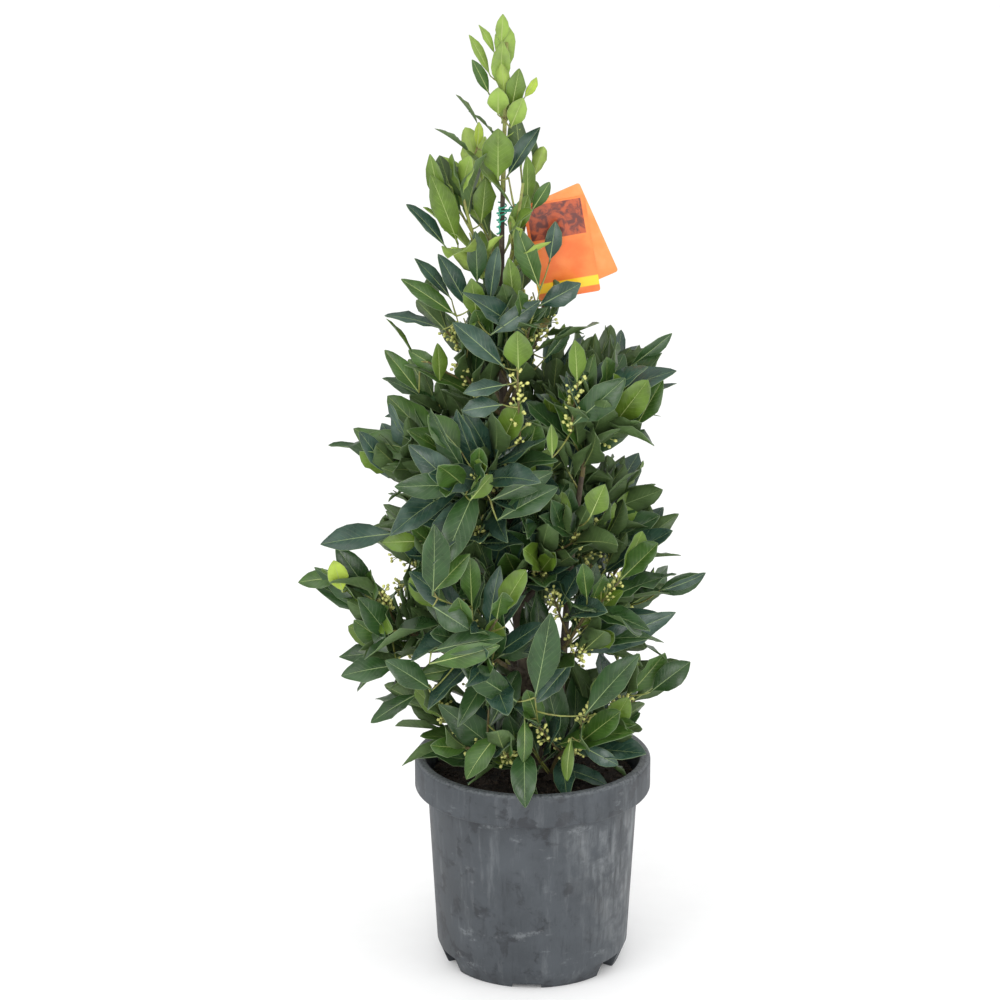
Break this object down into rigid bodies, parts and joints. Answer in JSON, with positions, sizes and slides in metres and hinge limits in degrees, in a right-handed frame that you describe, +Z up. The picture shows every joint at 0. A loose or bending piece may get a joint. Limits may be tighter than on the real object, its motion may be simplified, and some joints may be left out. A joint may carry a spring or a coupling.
{
  "type": "potted bay pyramid",
  "caption": "Young bay tree grown as a loose leafy pyramid, with buds in its leaf axils, in a round grey nursery pot filled with compost; a bare plant label hangs near its top.",
  "frame": {"origin": "middle of the flat pad under the pot, on the floor", "axes": "+Z up along the pot's axis, front along -Y (the side in the picture), +X to the viewer's right"},
  "size_m": [0.4164, 0.4164, 1.0614],
  "materials": {
    "pot": "weathered matt",
    "soil": "rough, dark and moist",
    "bark": "fine-grained matt bark",
    "foliage": "satin dark green",
    "young_foliage": "satin light green",
    "card": "smooth orange card",
    "tie": "green coated wire"
  },
  "bodies": {
    "root": {"bough_low_1": "bark", "bough_low_2": "bark", "bough_low_3": "bark", "bough_low_4": "bark", "bough_low_5": "bark", "bough_low_6": "bark", "bough_middle_1": "bark", "bough_middle_2": "bark", "bough_middle_3": "bark", "bough_middle_4": "bark", "bough_middle_5": "bark", "bough_upper_1": "bark", "bough_upper_2": "bark", "bough_upper_4": "bark", "foliage_high_1": "foliage", "foliage_high_2": "foliage", "foliage_high_3": "foliage", "foliage_high_4": "foliage", "foliage_leader": "young_foliage", "foliage_low_1": "foliage", "foliage_low_2": "foliage", "foliage_low_3": "foliage", "foliage_low_4": "foliage", "foliage_low_5": "foliage", "foliage_low_6": "foliage", "foliage_middle_1": "foliage", "foliage_middle_2": "foliage", "foliage_middle_3": "foliage", "foliage_middle_4": "foliage", "foliage_middle_5": "foliage", "foliage_neck_1": "young_foliage", "foliage_neck_2": "young_foliage", "foliage_neck_3": "young_foliage", "foliage_neck_4": "young_foliage", "foliage_skirt_1": "foliage", "foliage_skirt_2": "foliage", "foliage_skirt_3": "foliage", "foliage_skirt_4": "foliage", "foliage_skirt_5": "foliage", "foliage_upper_1": "foliage", "foliage_upper_2": "foliage", "foliage_upper_3": "foliage", "foliage_upper_4": "foliage", "foliage_upper_5": "foliage", "label_card_back": "card", "label_card_front": "card", "label_tie": "tie", "pot": "pot", "soil": "soil", "stem_skirt_1": "bark", "stem_skirt_2": "bark", "stem_skirt_3": "bark", "stem_skirt_4": "bark", "stem_skirt_5": "bark", "stem_upper_3": "bark", "stem_upper_5": "bark", "trunk": "bark"}
  },
  "joints": []
}
